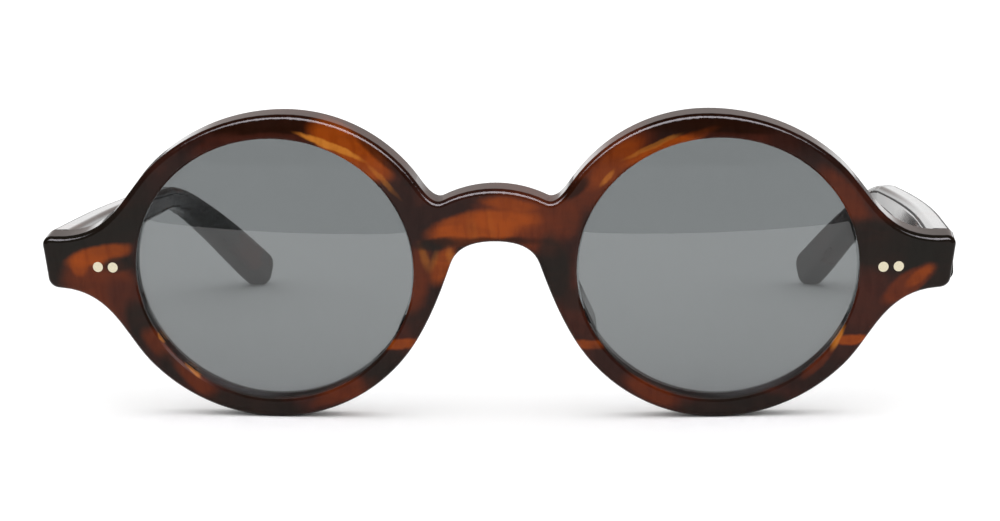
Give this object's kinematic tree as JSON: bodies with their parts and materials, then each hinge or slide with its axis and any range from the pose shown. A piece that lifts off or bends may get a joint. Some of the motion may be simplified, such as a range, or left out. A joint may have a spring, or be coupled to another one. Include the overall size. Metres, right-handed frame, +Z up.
{
  "type": "round sunglasses",
  "caption": "Round acetate sunglasses with a saddle bridge, tinted lenses and folding temples on riveted barrel hinges.",
  "frame": {"origin": "centre of the overall box in X and Y, at the level surface the open pair stands on", "axes": "+X towards the wearer's left, +Y back along the temples, +Z up; the pair stands on its rims and temple tips"},
  "size_m": [0.1436, 0.1534, 0.0485],
  "materials": {
    "front_acetate": "polished tortoise acetate",
    "temple_acetate": "polished tortoise acetate",
    "pad_acetate": "polished acetate",
    "lens_tint": "neutral grey tint",
    "hinge_metal": "satin nickel silver",
    "screw_steel": "turned steel",
    "rivet_metal": "ground flush with the acetate",
    "core_metal": "drawn wire"
  },
  "bodies": {
    "front": {"front": "front_acetate", "left_nose_pad": "pad_acetate", "left_lens": "lens_tint", "left_front_hinge_leaf": "hinge_metal", "left_hinge_screw": "screw_steel", "left_front_outer_rivet": "rivet_metal", "left_front_inner_rivet": "rivet_metal", "right_nose_pad": "pad_acetate", "right_lens": "lens_tint", "right_front_hinge_leaf": "hinge_metal", "right_hinge_screw": "screw_steel", "right_front_outer_rivet": "rivet_metal", "right_front_inner_rivet": "rivet_metal"},
    "left_temple": {"left_temple": "temple_acetate", "left_temple_core_wire": "core_metal", "left_temple_hinge_leaf": "hinge_metal", "left_temple_first_rivet": "rivet_metal", "left_temple_second_rivet": "rivet_metal"},
    "right_temple": {"right_temple": "temple_acetate", "right_temple_core_wire": "core_metal", "right_temple_hinge_leaf": "hinge_metal", "right_temple_first_rivet": "rivet_metal", "right_temple_second_rivet": "rivet_metal"}
  },
  "joints": [
    {"name": "left_temple_hinge", "type": "hinge", "parent": "front", "child": "left_temple", "pos_m": [0.0659, -0.0617, 0.02423], "axis": [0, 0.0493, 0.9988], "range_deg": [0, 84]},
    {"name": "right_temple_hinge", "type": "hinge", "parent": "front", "child": "right_temple", "pos_m": [-0.0659, -0.0617, 0.02423], "axis": [0, -0.0493, -0.9988], "range_deg": [0, 54]}
  ]
}
